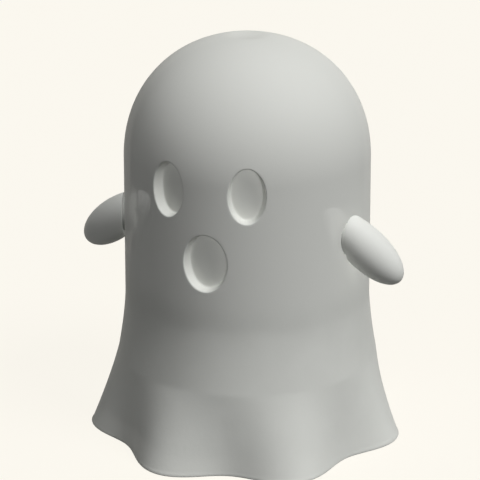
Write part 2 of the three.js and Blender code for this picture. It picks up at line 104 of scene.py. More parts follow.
# Outlines are functions of how far they are drawn in and give points in order round +Z.
def rectangle(left, right, front, back, corner, quarter=5):
    turn = np.concatenate([np.linspace(k, k + 1, quarter) for k in range(4)]) * math.pi / 2
    signX, signY = np.repeat([1, -1, -1, 1], quarter), np.repeat([1, 1, -1, -1], quarter)

    def outline(inset):
        bend = max(corner - inset, 0.01)
        x = (left + right) / 2 + signX * ((right - left) / 2 - inset - bend) + bend * np.cos(turn)
        y = (front + back) / 2 + signY * ((back - front) / 2 - inset - bend) + bend * np.sin(turn)
        return np.stack([x, y], -1)
    return outline


# A rectangle from its middle and its half sizes.
def oblong(x, y, halfX, halfY, corner):
    return rectangle(x - halfX, x + halfX, y - halfY, y + halfY, corner)


def disc(x, y, radius, steps=48):
    return lambda inset: circle(steps, radius - inset, 0.0)[:, :2] + (x, y)


# A piece from outlines stacked downwards, each given as how far it is drawn in and its height.
def stacked(name, outline, levels):
    lines = [(outline(inset), height) for inset, height in levels]
    return ringPiece(name, [np.column_stack([line, np.full(len(line), height)]) for line, height in lines])


# A plate between two heights with rounded edges above and below.
def plate(name, outline, low, high, edge, foot=None):
    foot = edge if foot is None else foot
    turns = quarterTurn(4)
    top = [(edge * (1 - math.sin(q)), high - edge * (1 - math.cos(q))) for q in turns]
    bottom = [(foot * (1 - math.sin(q)), low + foot * (1 - math.cos(q))) for q in turns[::-1]]
    return stacked(name, outline, top + bottom)


# A straight cutter between two heights.
def shaft(outline, low, high):
    return stacked("shaft", outline, [(0, high), (0, low)])


# A cutter from its inner end out past a face, with a rounded mouth where it meets that face.
def cutter(outline, end, face, edge):
    side = math.copysign(1, face - end)
    mouth = [(-edge * (1 - math.cos(q)), face - side * edge * (1 - math.sin(q))) for q in quarterTurn(4)]
    levels = [(0, end), *mouth, (-edge, face + side)]
    return stacked("cutter", outline, levels if side < 0 else levels[::-1])


# A point at an angle from the face, -Y, towards +X.
def around(angle, radius, height):
    return np.stack([radius * np.sin(angle), -radius * np.cos(angle), height + 0 * angle], axis=-1)


# Turns a mesh by the columns of a matrix and shifts it, in millimetres, with the object left in place.
def moveMesh(piece, matrix, shift=(0, 0, 0)):
    count = len(piece.data.vertices)
    places = np.empty(count * 3)
    piece.data.vertices.foreach_get("co", places)
    places = places.reshape(-1, 3) @ np.asarray(matrix, float).T + np.asarray(shift) * mm
    piece.data.vertices.foreach_set("co", places.ravel())
    piece.data.update()
    return piece


def shiftMesh(piece, x, y, z):
    return moveMesh(piece, np.eye(3), (x, y, z))


alongX = [[0, 0, 1], [1, 0, 0], [0, 1, 0]]   # turns a piece's Z into X
alongY = [[1, 0, 0], [0, 0, 1], [0, -1, 0]]  # turns a piece's Z into Y


# Joins closed tools to a piece, then cuts others out of it. Round faces stay smooth. With weighted, flat
# faces are joined into large ones, and normals weighted by area keep them even.
def carve(piece, joined=(), cut=(), sharpAngle=40 * degree, weighted=True):
    for tool, operation in [(tool, "UNION") for tool in joined] + [(tool, "DIFFERENCE") for tool in cut]:
        step = piece.modifiers.new(operation, "BOOLEAN")
        step.object, step.operation, step.solver = tool, operation, "MANIFOLD"
    state = bpy.context.evaluated_depsgraph_get()
    made = bpy.data.meshes.new_from_object(piece.evaluated_get(state))
    piece.modifiers.clear()
    piece.data = made
    for tool in (*joined, *cut):
        bpy.data.objects.remove(tool)
    if weighted:
        form = bmesh.new()
        form.from_mesh(made)
        bmesh.ops.dissolve_limit(form, angle_limit=0.1 * degree, verts=form.verts, edges=form.edges)
        form.to_mesh(made)
        form.free()
    made.polygons.foreach_set("use_smooth", [True] * len(made.polygons))
    made.set_sharp_from_angle(angle=sharpAngle)
    if weighted:
        piece.modifiers.new("normals", "WEIGHTED_NORMAL").keep_sharp = True


# The middles of a piece's faces in millimetres, as rows of x, y and z.
def faceMiddles(piece):
    middles = np.empty(len(piece.data.polygons) * 3)
    piece.data.polygons.foreach_get("center", middles)
    return middles.reshape(-1, 3).T / mm


# Gives a second finish to the faces of a piece that a test on their middles picks out.
def paint(piece, material, test):
    piece.data.materials.append(material)
    marks = test(*faceMiddles(piece)).astype(np.int32)
    piece.data.polygons.foreach_set("material_index", marks)


# Materials: every finish is a Principled shader with noise on Object coordinates

# Sets a node's inputs to numbers or colours, or links them to the outputs that feed them.
def feed(tree, node, inputs):
    for key, value in inputs.items():
        if isinstance(value, bpy.types.NodeSocket):
            tree.links.new(value, node.inputs[key])
        else:
            node.inputs[key].default_value = (*value, 1) if isinstance(value, tuple) else value


def addNode(tree, kind, inputs=None, **settings):
    node = tree.nodes.new(kind)
    for key, value in settings.items():
        setattr(node, key, value)
    feed(tree, node, inputs or {})
    return node


def noiseAt(tree, coordinates, scale):
    inputs = {"Scale": scale, "Detail": 3.0, "Vector": coordinates}
    return addNode(tree, "ShaderNodeTexNoise", inputs).outputs["Fac"]


def mapRange(tree, value, source, target, kind="LINEAR"):
    inputs = dict(zip(("Value", "From Min", "From Max", "To Min", "To Max"), (value, *source, *target)))
    return addNode(tree, "ShaderNodeMapRange", inputs, interpolation_type=kind).outputs["Result"]


# Maps noise, which stays mostly between 0.3 and 0.7, to a range.
def spread(tree, value, low, high):
    return mapRange(tree, value, (0.3, 0.7), (low, high))


def mixColours(tree, share, first, second):
    return addNode(tree, "ShaderNodeMix", {0: share, 6: first, 7: second}, data_type="RGBA").outputs[2]


# Goes smoothly from one value to another between two heights of the object.
def byHeight(tree, heights, values):
    place = addNode(tree, "ShaderNodeSeparateXYZ", {0: tree.nodes["Texture Coordinate"].outputs["Object"]})
    return mapRange(tree, place.outputs["Z"], (heights[0] * mm, heights[1] * mm), values, "SMOOTHSTEP")


# 1 on the back of a face, else 0.
def backOf(tree):
    return addNode(tree, "ShaderNodeNewGeometry").outputs["Backfacing"]


# Two close colours in soft clouds, a grain that sets roughness and a fine bump, in Object coordinates.
def finish(name, colour, shade, roughness, grain, relief, metallic=0.0, specular=0.4):
    material = bpy.data.materials.new(name)
    material.use_nodes = True
    tree = material.node_tree
    coordinates = addNode(tree, "ShaderNodeTexCoord").outputs["Object"]
    clouds = spread(tree, noiseAt(tree, coordinates, 90.0), 0.0, 1.0)
    grains = noiseAt(tree, coordinates, grain)
    bump = addNode(tree, "ShaderNodeBump", {"Strength": 1.0, "Distance": relief * mm, "Height": grains})
    feed(tree, tree.nodes["Principled BSDF"], {
        "Base Color": mixColours(tree, clouds, colour, shade), "Normal": bump.outputs["Normal"],
        "Roughness": spread(tree, grains, roughness - 0.05, roughness + 0.05),
        "Metallic": metallic, "Specular IOR Level": specular})
    return material


# Lays another colour over a finish's own by a share.
def layOver(material, share, colour):
    tree = material.node_tree
    principled = tree.nodes["Principled BSDF"]
    own = principled.inputs["Base Color"].links[0].from_socket
    feed(tree, principled, {"Base Color": mixColours(tree, share, own, colour)})


skin = {
    "skirt": ((0.7, 0.71, 0.675), (0.68, 0.69, 0.655)), "upper": (0.822, 0.832, 0.792),
    # The dark colour for the backs of the outer skin's faces is painted shade, where lamps without shadows
    # would light them.
    "back": (0.1, 0.1, 0.095), "change": (55, 66),  # heights between which skirt turns into upper
    "skirtVeil": 0.98, "upperVeil": 0.84, "collarVeil": 0.12,  # shares of what is behind that they cover
    # The lining's dimmer colour, and the heights over which it comes in, are painted shade.
    "lining": ((0.715, 0.725, 0.69), (0.695, 0.705, 0.67)), "liningShade": (0.16, 0.16, 0.155), "liningShadeHeights": (8, 20),
}


# The shell's outer skin lets a little of the arms' inner ends show above the flare and hardly any below.
# It is lighter above the flare, and a dark colour is painted on the backs of its faces as shade.
def shellFinish(name, veil):
    material = finish(name, *skin["skirt"], 0.55, 900.0, 0.02, specular=0.06)
    tree = material.node_tree
    alpha = byHeight(tree, skin["change"], (skin["skirtVeil"], veil))
    feed(tree, tree.nodes["Principled BSDF"], {"Alpha": alpha})
    layOver(material, byHeight(tree, skin["change"], (0.0, 1.0)), skin["upper"])
    # Painted shade: the backs of the faces take the dark colour.
    layOver(material, backOf(tree), skin["back"])
    return material


# The inner skin shows only from inside, and above the base a dimmer colour is painted on it as shade, where
# little light comes in.
def liningFinish():
    material = finish("shellLining", *skin["lining"], 0.55, 900.0, 0.02, specular=0.06)
    tree = material.node_tree
    # Painted shade: the dimmer colour over the lining above the base.
    layOver(material, byHeight(tree, skin["liningShadeHeights"], (0.0, 1.0)), skin["liningShade"])
    front = addNode(tree, "ShaderNodeMath", {0: 1.0, 1: backOf(tree)}, operation="SUBTRACT")
    feed(tree, tree.nodes["Principled BSDF"], {"Alpha": front.outputs[0]})
    return material


# Each finish has a colour, its shade, a roughness, the scale of its grain, the depth of its bump in mm
# and, where they aren't the usual ones, its metal and its gloss.
def finishes():
    plain = (0.785, 0.795, 0.76), (0.765, 0.775, 0.74)
    return {
        "shell": shellFinish("shellPlastic", skin["upperVeil"]),
        "collar": shellFinish("shellCollar", skin["collarVeil"]),
        "lining": liningFinish(),
        # The bore finish is a darker colour painted as shade in the shoulders' bores and on the arms' faces
        # that sit in them.
        "bore": finish("shellBoreShade", (0.37, 0.375, 0.36), (0.35, 0.355, 0.34), 0.6, 900.0, 0.02, 0.0, 0.1),
        "arm": finish("armPlastic", *plain, 0.5, 900.0, 0.02, specular=0.06),
        "base": finish("basePlastic", (0.64, 0.645, 0.62), (0.60, 0.605, 0.58), 0.6, 1400.0, 0.03),
        "washer": finish("washerPlastic", *plain, 0.6, 1400.0, 0.03, specular=0.06),
        "door": finish("doorPlastic", (0.63, 0.635, 0.61), (0.595, 0.60, 0.575), 0.6, 1400.0, 0.03),
        "steel": finish("zincSteel", (0.60, 0.61, 0.62), (0.52, 0.53, 0.54), 0.32, 700.0, 0.01, 1.0),
        "strip": finish("stampedStrip", (0.66, 0.655, 0.63), (0.56, 0.555, 0.53), 0.28, 420.0, 0.008, 1.0),
        "cell": finish("cellSleeve", (0.50, 0.50, 0.49), (0.47, 0.47, 0.46), 0.3, 500.0, 0.01),
        "band": finish("cellBand", (0.62, 0.62, 0.61), (0.58, 0.58, 0.57), 0.3, 500.0, 0.01),
        "board": finish("boardMask", (0.72, 0.73, 0.70), (0.68, 0.69, 0.66), 0.4, 800.0, 0.01),
        "lamp": finish("lampResin", (0.88, 0.84, 0.72), (0.86, 0.82, 0.70), 0.2, 500.0, 0.005),
        "dark": finish("darkPlastic", (0.045, 0.045, 0.046), (0.035, 0.035, 0.036), 0.5, 900.0, 0.02),
    }


# Gives a new piece its finish, its body, its material slot and the node that it stands for.
def wear(piece, material, body, node):
    piece.data.materials.clear()
    piece.data.materials.append(material)
    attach(piece, body)
    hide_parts(node)


# Camera, floor and light

camera = {
    "azimuth": 19.05 * degree,    # round from the face, towards +X
    "elevation": 18.885 * degree,
    "distance": 586.1,
    "aimHeight": 70.26,
    "lens": 119.92,
    "shiftX": -0.0153,            # the figure stands a little right of the middle
}

stage = {
    "floorSize": 6000.0,
    "paper": (0.992, 0.961, 0.886),
    "bounce": (0.11, 0.11, 0.11),  # the floor's colour in the light that it sends back
    "shadowShare": 0.16,           # how much of the floor's own shading the camera sees
    # azimuth, elevation, strength, angle across and whether it casts a shadow
    "lamps": {"key": (75, 50, 0.75, 25, True), "keySoft": (75, 50, 1.86, 25, False),
              "front": (-15, 30, 0.36, 25, False), "top": (0, 85, 0.43, 25, False)},
    "sky": (0.956, 0.930, 0.855),  # what the camera sees past the floor
}


# 1 for rays from the camera and their reflections, and 0 for light on its way.
def seenShare(tree):
    rays = addNode(tree, "ShaderNodeLightPath").outputs
    inputs = {0: rays["Is Camera Ray"], 1: rays["Is Glossy Ray"]}
    return addNode(tree, "ShaderNodeMath", inputs, operation="MAXIMUM").outputs[0]


def makeCamera():
    back = around(camera["azimuth"], math.cos(camera["elevation"]), math.sin(camera["elevation"]))
    lens = bpy.data.cameras.new("camera")
    lens.lens, lens.sensor_width, lens.shift_x = camera["lens"], 36.0, camera["shiftX"]
    lens.clip_start, lens.clip_end = 0.01, 20.0
    eye = bpy.data.objects.new("camera", lens)
    eye.location = Vector(back * camera["distance"] * mm) + Vector((0, 0, camera["aimHeight"] * mm))
    eye.rotation_euler = Vector(-back).to_track_quat("-Z", "Y").to_euler()
    bpy.context.scene.collection.objects.link(eye)
    bpy.context.scene.camera = eye


# Matt for the light, but mostly of one even colour to the camera.
def makeFloor():
    half = stage["floorSize"] / 2
    corners = np.array([[-half, -half, 0], [half, -half, 0], [half, half, 0], [-half, half, 0]])
    floor = putMesh("floor", corners, [np.array([[0, 1, 2, 3]])])
    paper = bpy.data.materials.new("paper")
    paper.use_nodes = True
    tree = paper.node_tree
    tree.nodes.remove(tree.nodes["Principled BSDF"])
    seen = seenShare(tree)
    share = addNode(tree, "ShaderNodeMath", {0: seen, 1: 1 - stage["shadowShare"]}, operation="MULTIPLY")
    tint = mixColours(tree, seen, stage["bounce"], stage["paper"])
    matt = addNode(tree, "ShaderNodeBsdfDiffuse", {"Color": tint})
    glow = addNode(tree, "ShaderNodeEmission", {"Color": stage["paper"]})
    shaders = {0: share.outputs[0], 1: matt.outputs[0], 2: glow.outputs[0]}
    both = addNode(tree, "ShaderNodeMixShader", shaders)
    feed(tree, tree.nodes["Material Output"], {"Surface": both.outputs[0]})
    floor.data.materials.append(paper)


def makeStage():
    makeCamera()
    makeFloor()
    for label, (azimuth, elevation, strength, width, shades) in stage["lamps"].items():
        light = bpy.data.lights.new(label, "SUN")
        light.energy, light.angle, light.use_shadow = strength, width * degree, shades
        rise = elevation * degree
        towards = Vector(around(azimuth * degree, math.cos(rise), math.sin(rise)))
        holder = bpy.data.objects.new(label, light)
        holder.rotation_euler = towards.to_track_quat("Z", "Y").to_euler()
        bpy.context.scene.collection.objects.link(holder)
    world = bpy.data.worlds.new("sky")
    world.use_nodes = True
    tree = world.node_tree
    sky = mixColours(tree, seenShare(tree), (0, 0, 0), stage["sky"])
    feed(tree, tree.nodes["Background"], {"Color": sky})
    bpy.context.scene.world = world
    bpy.context.scene.view_settings.view_transform = "Standard"
    print("stage: camera, floor, lamps and sky")


# Body shell

shell = {
    "radius": 45.0, "draft": 0.012, "wall": 2.3, "headCentre": 102.1, "domeRise": 44.75, "domePower": 2.12,
    "dimpleRadius": 8.5, "dimpleDepth": 0.95,
    "flareStart": 52.3, "flareReach": 10.2, "flarePower": 1.47,
    "foldStart": 29.4, "foldDepth": 3.75, "foldPower": 1.14, "foldCount": 7, "firstCrest": -14.3 * degree,
    "hemRound": 0.5,
    "eyeWindow": 10.8 * degree,            # half the width of an eye's finely divided patch
    "eyeCells": 30, "mouthCells": 26,      # half the cells across each patch
    "betweenEyes": 20, "behindEyes": 166,  # columns from patch to patch
    "crownRows": 50, "eyesToMouth": 3,     # rows over and under the eyes' patches
    "innerLevels": (62, 90, 114),          # the inner skin is finer between the first and the last
}


# Cylinder with a little draft + flare + folds: both grow from their start to the hem by a power.
def skirtRadius(angle, height):
    flareStart, foldStart = shell["flareStart"], shell["foldStart"]
    narrowed = shell["draft"] * np.clip(height - flareStart, 0, shell["headCentre"] - flareStart)
    flare = (np.maximum(0, flareStart - height) / flareStart) ** shell["flarePower"]
    fold = (np.maximum(0, foldStart - height) / foldStart) ** shell["foldPower"]
    wave = np.cos(shell["foldCount"] * (angle - shell["firstCrest"]))
    return shell["radius"] - narrowed + shell["flareReach"] * flare + shell["foldDepth"] * fold * wave


# The outer radius less the wall, which is wider where it leans down or swings round a fold.
def skirtInnerRadius(angle, height):
    nudge = 0.01
    radius = skirtRadius(angle, height)
    lean = (skirtRadius(angle, height + nudge) - radius) / nudge
    swing = (skirtRadius(angle + nudge, height) - radius) / (nudge * radius)
    return radius - shell["wall"] * np.sqrt(1 + lean ** 2 + swing ** 2)


# Superellipse: r/R and z/rise to a power add up to 1, a depth inside the outer face.
def headRadius(height, depth):
    rise = np.clip((height - shell["headCentre"]) / (shell["domeRise"] - depth), 0, 1)
    base = skirtRadius(0.0, shell["headCentre"]) - depth
    return base * (1 - rise ** shell["domePower"]) ** (1 / shell["domePower"])


# The same curve by an angle that is 0 at the crown, so that its rows lie closer where it is flat.
def domeAngle(height, rise):
    return math.acos(((height - shell["headCentre"]) / rise) ** (shell["domePower"] / 2))


def domeHeight(angle, rise):
    return shell["headCentre"] + rise * np.cos(angle) ** (2 / shell["domePower"])


recess = {
    "depth": 4.0, "rimRound": 0.45, "floorRound": 0.6, "draft": 0.2,
    "eyeAngle": 18.9 * degree, "eyeHeight": 100.4, "eyeHalf": (6.3, 9.3), "eyeReach": 11.2,
    "mouthHeight": 76.0, "mouthHalf": (7.7, 9.85), "mouthReach": 11.8,
}


def recessPlaces():
    eye, mouth = recess["eyeHalf"], recess["mouthHalf"]
    angle = recess["eyeAngle"]
    return [(-angle, recess["eyeHeight"], eye), (angle, recess["eyeHeight"], eye),
            (0.0, recess["mouthHeight"], mouth)]


# Square rings of grid cells are laid on ovals: floor, rounded corner, wall, rounded rim, then flat again.
def sinkRecess(theta, height, depth, rows, columns, place):
    middle, level, (halfWidth, halfHeight) = place
    cells = (columns.stop - columns.start - 1) // 2
    steps = np.arange(-cells, cells + 1)
    across, down = np.meshgrid(steps, steps)
    ring = np.maximum(np.abs(across), np.abs(down))
    turn = np.arctan2(-down, across)
    cornerRings, wallRings, rimRings, blendRings = 4, 5, 4, 6
    floorRings = cells - cornerRings - wallRings - rimRings - blendRings
    deep, corner, rim, draft = (recess[key] for key in ("depth", "floorRound", "rimRound", "draft"))

    share = np.minimum(np.arange(cells + 1) / floorRings, 1)
    bend, roll = quarterTurn(cornerRings)[1:], quarterTurn(rimRings)[1:]
    climb = np.arange(1, wallRings + 1) / wallRings
    offset = np.concatenate([
        np.full(floorRings + 1, -corner), -corner + corner * np.sin(bend), draft * climb,
        draft + rim * (1 - np.cos(roll)), np.full(blendRings, draft + rim)])
    sink = np.concatenate([
        np.full(floorRings + 1, deep), deep - corner * (1 - np.cos(bend)),
        deep - corner + (rim - deep + corner) * climb, rim * (1 - np.sin(roll)), np.zeros(blendRings)])

    ovalSide = (halfWidth + offset[ring]) * share[ring] * np.cos(turn) / shell["radius"] + middle
    ovalLevel = (halfHeight + offset[ring]) * share[ring] * np.sin(turn) + level
    outer = np.maximum(ring, 1) / cells
    edgeSide = np.interp(across / outer, steps, theta[0, columns])
    edgeLevel = np.interp(down / outer, steps, height[rows, 0])
    blend = np.clip((ring - (cells - blendRings)) / blendRings, 0, 1)
    theta[rows, columns] = ovalSide * (1 - blend) + edgeSide * blend
    height[rows, columns] = ovalLevel * (1 - blend) + edgeLevel * blend
    depth[rows, columns] = sink[ring]


def spacing(start, stop, count):
    return np.linspace(start, stop, count, endpoint=False)


# Outer and inner skins as grids of angle and height, closed by a rounded hem.
def shellSkins():
    eye, mouth, between = shell["eyeCells"], shell["mouthCells"], shell["betweenEyes"]
    flareStart, foldStart, edge = shell["flareStart"], shell["foldStart"], shell["hemRound"]
    inner, outer = recess["eyeAngle"] - shell["eyeWindow"], recess["eyeAngle"] + shell["eyeWindow"]
    columns = np.concatenate([
        spacing(-outer, -inner, 2 * eye), spacing(-inner, inner, between), spacing(inner, outer, 2 * eye),
        spacing(outer, 2 * math.pi - outer, shell["behindEyes"])])
    eyeTop, eyeFoot = (recess["eyeHeight"] + side * recess["eyeReach"] for side in (1, -1))
    mouthTop, mouthFoot = (recess["mouthHeight"] + side * recess["mouthReach"] for side in (1, -1))
    share = np.linspace(0, 1, shell["crownRows"] + 2)[1:-1] ** 1.25  # closer together at the crown's dimple
    crownRows = domeHeight(domeAngle(eyeTop, shell["domeRise"]) * share, shell["domeRise"])
    rows = np.concatenate([
        crownRows, spacing(eyeTop, eyeFoot, 2 * eye), spacing(eyeFoot, mouthTop, shell["eyesToMouth"]),
        spacing(mouthTop, mouthFoot, 2 * mouth), spacing(mouthFoot, flareStart, 9),
        spacing(flareStart, foldStart, 24), spacing(foldStart, edge, 40)])
    height, theta = np.meshgrid(rows, columns, indexing="ij")
    depth = np.zeros_like(height)
    mouthRow = len(crownRows) + 2 * eye + shell["eyesToMouth"]
    starts = ((len(crownRows), 0, eye), (len(crownRows), 2 * eye + between, eye),
              (mouthRow, 2 * eye + between // 2 - mouth, mouth))
    for (row, column, cells), place in zip(starts, recessPlaces()):
        patchRows, patchColumns = (slice(first, first + 2 * cells + 1) for first in (row, column))
        sinkRecess(theta, height, depth, patchRows, patchColumns, place)
    head = headRadius(height, depth)
    skirt = skirtRadius(theta, height) - depth
    radius = np.where(height > shell["headCentre"], head, skirt)
    dish = shell["dimpleDepth"] * np.maximum(0, 1 - (radius / shell["dimpleRadius"]) ** 2) ** 2
    outerSkin = around(theta, radius, height - dish)

    q = quarterTurn(5)[:, None]  # rounded hem: a quarter circle of the hem's radius
    hemOuter = around(columns, skirtRadius(columns, 0.0) - edge * (1 - np.cos(q)), edge * (1 - np.sin(q)))
    halfColumns = columns[::2]
    q = q[::-1]
    hemInner = around(halfColumns, skirtInnerRadius(halfColumns, 0.0) + edge * (1 - np.cos(q)),
                      edge * (1 - np.sin(q)))

    low, level, high = shell["innerLevels"]
    rise = shell["domeRise"] - shell["wall"]
    rows = np.concatenate([
        spacing(1.5, foldStart, 16), spacing(foldStart, flareStart, 8), spacing(flareStart, low, 3),
        spacing(low, level, 30), spacing(level, high, 28),
        domeHeight(np.linspace(domeAngle(high, rise), 0, 22)[:-1], rise)])
    height, theta = np.meshgrid(rows, halfColumns, indexing="ij")
    cup = np.zeros_like(height)
    for middle, centre, (halfWidth, halfHeight) in recessPlaces():
        side = (theta - middle) * shell["radius"] / (halfWidth + shell["wall"])
        reach = np.hypot(side, (height - centre) / (halfHeight + shell["wall"]))
        step = np.clip((1.1 - reach) / 0.16, 0, 1)
        cup = np.maximum(cup, recess["depth"] * step * step * (3 - 2 * step))
    base = skirtRadius(0.0, shell["headCentre"]) - shell["wall"]
    head = headRadius(height, shell["wall"]) * (base - cup) / base
    radius = np.where(height > shell["headCentre"], head, skirtInnerRadius(theta, height) - cup)
    innerSkin = around(theta, radius, height)
    return np.vstack([outerSkin, hemOuter]), np.vstack([hemInner, innerSkin])


shoulder = {
    "angle": 74.8 * degree, "height": 80.2, "journal": 6.8, "collarWall": 2.2, "collarDepth": 1.5,
    "washerLip": 1.4, "washerThickness": 1.0, "chamfer": 0.3, "steps": 96,
}


# Columns of the shoulder's frame: X down the arm's swing, Y across and Z out along the journal.
def shoulderBasis(side, back=0.0):
    out = np.array([side * math.sin(shoulder["angle"]), -math.cos(shoulder["angle"]), 0])
    down = np.array([0, 0, -1.0])
    across = np.cross(out, down)
    swing = side * back
    swungDown = math.cos(swing) * down + math.sin(swing) * across
    return np.stack([swungDown, np.cross(out, swungDown), out], axis=1)


def onShoulder(piece, side, back=0.0):
    return moveMesh(piece, shoulderBasis(side, back), (0, 0, shoulder["height"]))


# Distances out along the shoulder's axis: the wall under the arm and the faces of collar, cap and arm.
def shoulderLevels():
    seat = skirtRadius(0.0, shoulder["height"] - arm["halfLength"] * math.sin(arm["tilt"]))
    collarFace = seat - shell["wall"] - shoulder["collarDepth"]
    return seat, collarFace, collarFace - 2 * gap - shoulder["washerThickness"], seat + gap


boss = {
    "radius": 3.5, "foot": 7.7, "top": 20.0, "valleys": (0, 2, 5), "pilot": 1.45, "bite": 8.0,
    "sunk": 0.7,  # share of the wall that a boss reaches into at its top
}


# Each boss stands in a valley between two folds.
def bossPlaces():
    valleys = shell["firstCrest"] + (np.array(boss["valleys"]) + 0.5) / shell["foldCount"] * 2 * math.pi
    reach = skirtInnerRadius(valleys, boss["top"]) + boss["sunk"] * shell["wall"] - boss["radius"]
    return around(valleys, reach, 0.0)


def makeShell(finishOf):
    outerSkin, innerSkin = shellSkins()
    rows, steps = outerSkin.shape[:2]
    innerRows, innerSteps = innerSkin.shape[:2]
    crown = np.array([0, 0, shell["headCentre"] + shell["domeRise"] - shell["dimpleDepth"]])
    ceiling = np.array([0, 0, shell["headCentre"] + shell["domeRise"] - shell["wall"]])
    points = np.vstack([outerSkin.reshape(-1, 3), innerSkin.reshape(-1, 3), crown, ceiling])
    outerIndex = np.arange(rows * steps).reshape(rows, steps)
    innerIndex = np.arange(innerRows * innerSteps).reshape(innerRows, innerSteps) + rows * steps
    hem, edge = outerIndex[-1], innerIndex[0]
    even, odd, after = hem[::2], hem[1::2], np.roll(hem[::2], -1)
    ahead = np.roll(edge, -1)
    faces = [
        ringQuads(outerIndex), ringQuads(innerIndex),
        np.stack([even, edge, odd], -1), np.stack([odd, edge, ahead], -1), np.stack([odd, ahead, after], -1),
        ringFan(len(points) - 2, outerIndex[0], True), ringFan(len(points) - 1, innerIndex[-1], False)]
    piece = putMesh("ghostShell", points, faces)
    skins = ("shell", "lining", "collar", "bore")
    for name in skins:
        piece.data.materials.append(finishOf[name])
    marks = np.zeros(len(piece.data.polygons), np.int32)
    outerFaces = (rows - 1) * steps
    marks[outerFaces:outerFaces + (innerRows - 1) * innerSteps] = skins.index("lining")
    piece.data.polygons.foreach_set("material_index", marks)

    hole = shoulder["journal"] + gap
    collar, chamfer = hole + shoulder["collarWall"], shoulder["chamfer"]
    seat, face = shoulderLevels()[:2]
    wallInside = seat - shell["wall"]
    root = math.sqrt(seat ** 2 - collar ** 2) - gap
    rings = [(collar, root), (collar, face + chamfer), (collar - chamfer, face)]
    bores = [(hole, shell["radius"] + 2), (hole, wallInside), (hole, face - 2)]
    posts = [(boss["radius"], boss["top"]), (boss["radius"], boss["foot"])]
    pilots = [(boss["pilot"], boss["foot"] + boss["bite"]), (boss["pilot"], boss["foot"] - 2)]
    joined = [onShoulder(turned("collar", rings, shoulder["steps"]), side) for side in (-1, 1)]
    joined += [shiftMesh(turned("boss", posts, 48), *place) for place in bossPlaces()]
    cut = [onShoulder(turned("bore", bores, shoulder["steps"]), side) for side in (-1, 1)]
    cut += [shiftMesh(turned("pilot", pilots, 24), *place) for place in bossPlaces()]
    carve(piece, joined, cut, 50 * degree, weighted=False)

    marks = np.empty(len(piece.data.polygons), np.int32)
    piece.data.polygons.foreach_get("material_index", marks)
    x, y, z = faceMiddles(piece)
    aside, rise = np.abs(x) > 30, z - shoulder["height"]  # on the shoulders' sides; height over their axis
    inside = (np.hypot(x, y) < wallInside - 0.1) & (np.abs(rise) < collar + 0.1)
    marks[inside & aside & (marks == skins.index("shell"))] = skins.index("collar")
    # The bores' faces take the darker bore finish as painted shade.
    for side in (-1, 1):
        out = shoulderBasis(side)[:, 2]
        reach = np.hypot(x * out[1] - y * out[0], rise)
        marks[(x * out[0] + y * out[1] > wallInside) & (reach < hole + 0.1)] = skins.index("bore")
    piece.data.polygons.foreach_set("material_index", marks)
    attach(piece, "figure")
    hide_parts("body_shell")
    print("shell:", len(piece.data.polygons), "faces")


# Arms

arm = {
    "halfLength": 18.2, "halfWidth": 7.5, "fullness": 0.09, "tilt": 47.7 * degree, "shift": 4.8,
    "back": {-1: 37.1 * degree, 1: 24.3 * degree},
    "pegRadius": 1.8, "pegLength": 2.14, "pegOffset": 4.4, "faceRound": 0.12, "capRound": 0.35, "steps": 112,
    # The stretch of each journal past the flat face is painted with the dark bore finish as the body's
    # shade.
    "paintedShadeStretch": {-1: 1.3, 1: 0.0},  # stretch of each journal that is dark because the body shades it
}


# The egg cut along its length: its closed outline as distances down and out from the shoulder's middle.
def eggOutline():
    long, wide, tilt = arm["halfLength"], arm["halfWidth"], arm["tilt"]
    turn = fullTurn(2000)
    along = arm["shift"] + long * np.cos(turn)
    across = wide * (1 + arm["fullness"] * np.cos(turn)) * np.sin(turn)
    down = along * math.sin(tilt) + across * math.cos(tilt)
    out = shoulderLevels()[0] + along * math.cos(tilt) - across * math.sin(tilt)
    start = int(np.argmax(out))
    return np.roll(down, -start), np.roll(out, -start)


# A ring of the egg at a distance out. Its surface lies halfWidth (1 + fullness t) sqrt(1 - t t) from the
# long axis, with t from -1 to 1 along it, and each radius is found by halving.
def eggRing(level, drawn=0.0):
    down, out = eggOutline()
    foot = int(np.argmin(out))
    first = np.interp(-level, -out[:foot + 1], down[:foot + 1])
    second = np.interp(level, out[foot:], down[foot:])
    middle = (first + second) / 2
    long, tilt, steps = arm["halfLength"], arm["tilt"], arm["steps"]
    rise = level - shoulderLevels()[0]
    turn = fullTurn(steps)
    low, high = np.zeros(steps), np.full(steps, 2 * long)
    for halving in range(40):
        radius = (low + high) / 2
        x, y = middle + radius * np.cos(turn), radius * np.sin(turn)
        along = x * math.sin(tilt) + rise * math.cos(tilt) - arm["shift"]
        t = np.clip(along / long, -1, 1)
        limit = (arm["halfWidth"] * (1 + arm["fullness"] * t)) ** 2 * (1 - t * t)
        inside = (x * math.cos(tilt) - rise * math.sin(tilt)) ** 2 + y ** 2 < limit
        low, high = np.where(inside, radius, low), np.where(inside, high, radius)
    return circle(steps, low - drawn, level, middle)


# Round rings of the arm from rows of middle, radius and level.
def roundRings(*rows):
    return [circle(arm["steps"], radius, level, middle) for middle, radius, level in rows]


# Rings between two levels, closer together towards the ends of the egg.
def eggRings(start, stop, count):
    out = eggOutline()[1]
    middle, reach = (out.max() + out.min()) / 2, (out.max() - out.min()) / 2
    turns = [math.asin(min(1.0, max(-1.0, (level - middle) / reach))) for level in (start, stop)]
    return [eggRing(middle + reach * math.sin(turn)) for turn in np.linspace(*turns, count)]


